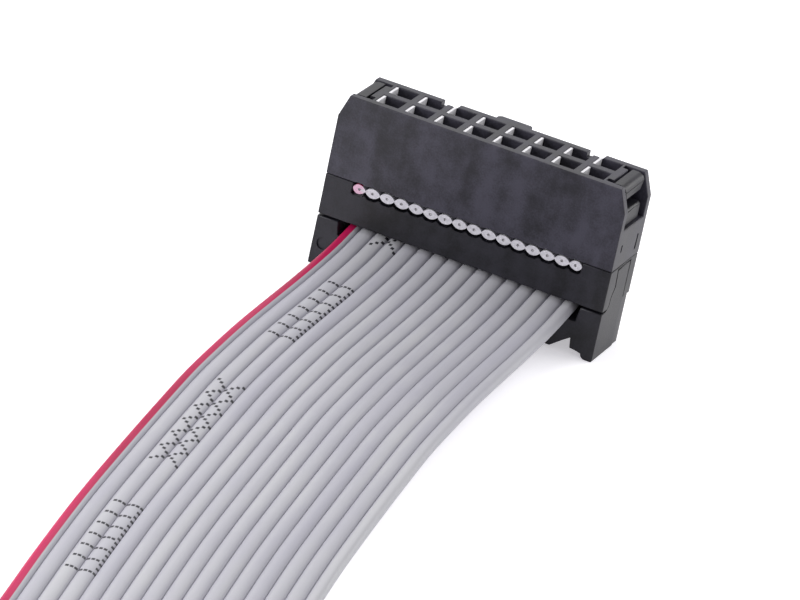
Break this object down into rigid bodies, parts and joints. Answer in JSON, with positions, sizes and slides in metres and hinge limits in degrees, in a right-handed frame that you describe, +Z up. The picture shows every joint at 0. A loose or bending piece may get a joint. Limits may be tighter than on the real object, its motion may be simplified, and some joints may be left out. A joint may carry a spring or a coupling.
{
  "type": "ribbon cable",
  "caption": "Flat grey ribbon cable with a red edge stripe and a black keyed socket connector with a clip-on strain relief clamped on each end.",
  "frame": {"origin": "on the floor, under the middle of the near connector's body", "axes": "+X along the row of sockets with the red-striped first wire at -X, +Y towards the keyed back, +Z up to the mating face; the cable leaves the front towards -Y"},
  "size_m": [0.0362, 0.1809, 0.0147],
  "materials": {
    "moulding": "black glass-filled polyester, fine satin grain",
    "contact_tin": "tin-plated phosphor bronze",
    "wire_copper": "tinned copper strands, cut",
    "insulation": "grey PVC with a red stripe on the first wire"
  },
  "bodies": {
    "root": {"socket_housing": "moulding", "cover": "moulding", "strain_relief": "moulding", "contact_01": "contact_tin", "contact_02": "contact_tin", "contact_03": "contact_tin", "contact_04": "contact_tin", "contact_05": "contact_tin", "contact_06": "contact_tin", "contact_07": "contact_tin", "contact_08": "contact_tin", "contact_09": "contact_tin", "contact_10": "contact_tin", "contact_11": "contact_tin", "contact_12": "contact_tin", "contact_13": "contact_tin", "contact_14": "contact_tin", "contact_15": "contact_tin", "contact_16": "contact_tin", "wire_cores": "wire_copper", "clamped_cable_end": "insulation", "ribbon": "insulation", "far_socket_housing": "moulding", "far_cover": "moulding", "far_strain_relief": "moulding", "far_contacts": "contact_tin", "far_wire_cores": "wire_copper", "far_clamped_cable_end": "insulation"}
  },
  "joints": []
}
